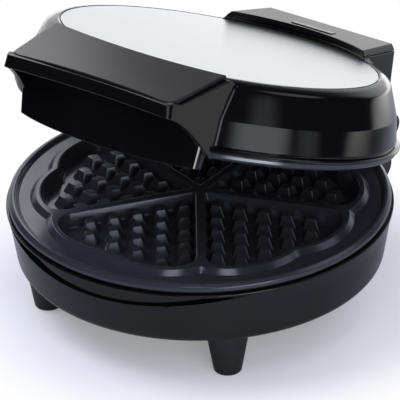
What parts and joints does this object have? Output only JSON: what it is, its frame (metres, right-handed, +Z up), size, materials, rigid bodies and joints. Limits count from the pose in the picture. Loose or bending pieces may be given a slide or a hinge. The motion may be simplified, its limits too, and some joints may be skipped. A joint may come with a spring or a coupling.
{
  "type": "waffle maker",
  "caption": "Round countertop heart waffle maker, its hinged lid half open over a scalloped plate of heart moulds, with a sloping front handle and short feet.",
  "frame": {"origin": "centre of the bounding box on the surface that the feet stand on, with the lid open as in rest", "axes": "+Z up, -Y towards the handle and the user, +Y towards the hinge, +X to the right of the user"},
  "size_m": [0.2106, 0.233, 0.1715],
  "materials": {
    "gloss_black": "moulded, high gloss",
    "satin_grey": "painted satin",
    "coated_aluminium": "cast, dark non-stick coating, satin",
    "brushed_disc": "bare stainless steel, finely brushed",
    "zinc_steel": "zinc plated",
    "heater_sheath": "dull metal sheath",
    "shield_aluminium": "mill finish sheet",
    "matte_black": "moulded, fine matt",
    "black_rubber": "matt",
    "white_ceramic": "matt ceramic",
    "clear_lens": "translucent, polished",
    "red_lamp": "polished",
    "green_lamp": "polished"
  },
  "bodies": {
    "base": {"base_housing": "gloss_black", "foot_front_left": "matte_black", "foot_front_right": "matte_black", "foot_rear_left": "matte_black", "foot_rear_right": "matte_black", "foot_screw_1": "zinc_steel", "foot_screw_2": "zinc_steel", "foot_screw_3": "zinc_steel", "foot_screw_4": "zinc_steel", "lower_cooking_plate": "coated_aluminium", "lower_plate_screw_1": "zinc_steel", "lower_plate_screw_2": "zinc_steel", "lower_plate_screw_3": "zinc_steel", "lower_heating_element": "heater_sheath", "lower_element_bracket": "zinc_steel", "lower_bracket_screw": "zinc_steel", "lower_heat_shield": "shield_aluminium", "thermal_fuse": "white_ceramic", "terminal_block": "white_ceramic", "cord_gland": "black_rubber", "hinge_pin_left": "zinc_steel", "hinge_pin_right": "zinc_steel"},
    "lid": {"lid_housing": "gloss_black", "handle_cover": "satin_grey", "lid_top_disc": "brushed_disc", "rear_cover": "gloss_black", "indicator_lens": "clear_lens", "lamp_holder": "white_ceramic", "indicator_lamp_red": "red_lamp", "indicator_lamp_green": "green_lamp", "upper_cooking_plate": "coated_aluminium", "upper_plate_screw_1": "zinc_steel", "upper_plate_screw_2": "zinc_steel", "upper_plate_screw_3": "zinc_steel", "upper_heating_element": "heater_sheath", "upper_element_bracket": "zinc_steel", "upper_bracket_screw": "zinc_steel", "upper_heat_shield": "shield_aluminium", "thermostat": "zinc_steel"}
  },
  "joints": [
    {"name": "lid_hinge", "type": "hinge", "parent": "base", "child": "lid", "pos_m": [0, 0.10522, 0.0655], "axis": [-1, 0, 0], "range_deg": [-19.7, 75]}
  ]
}
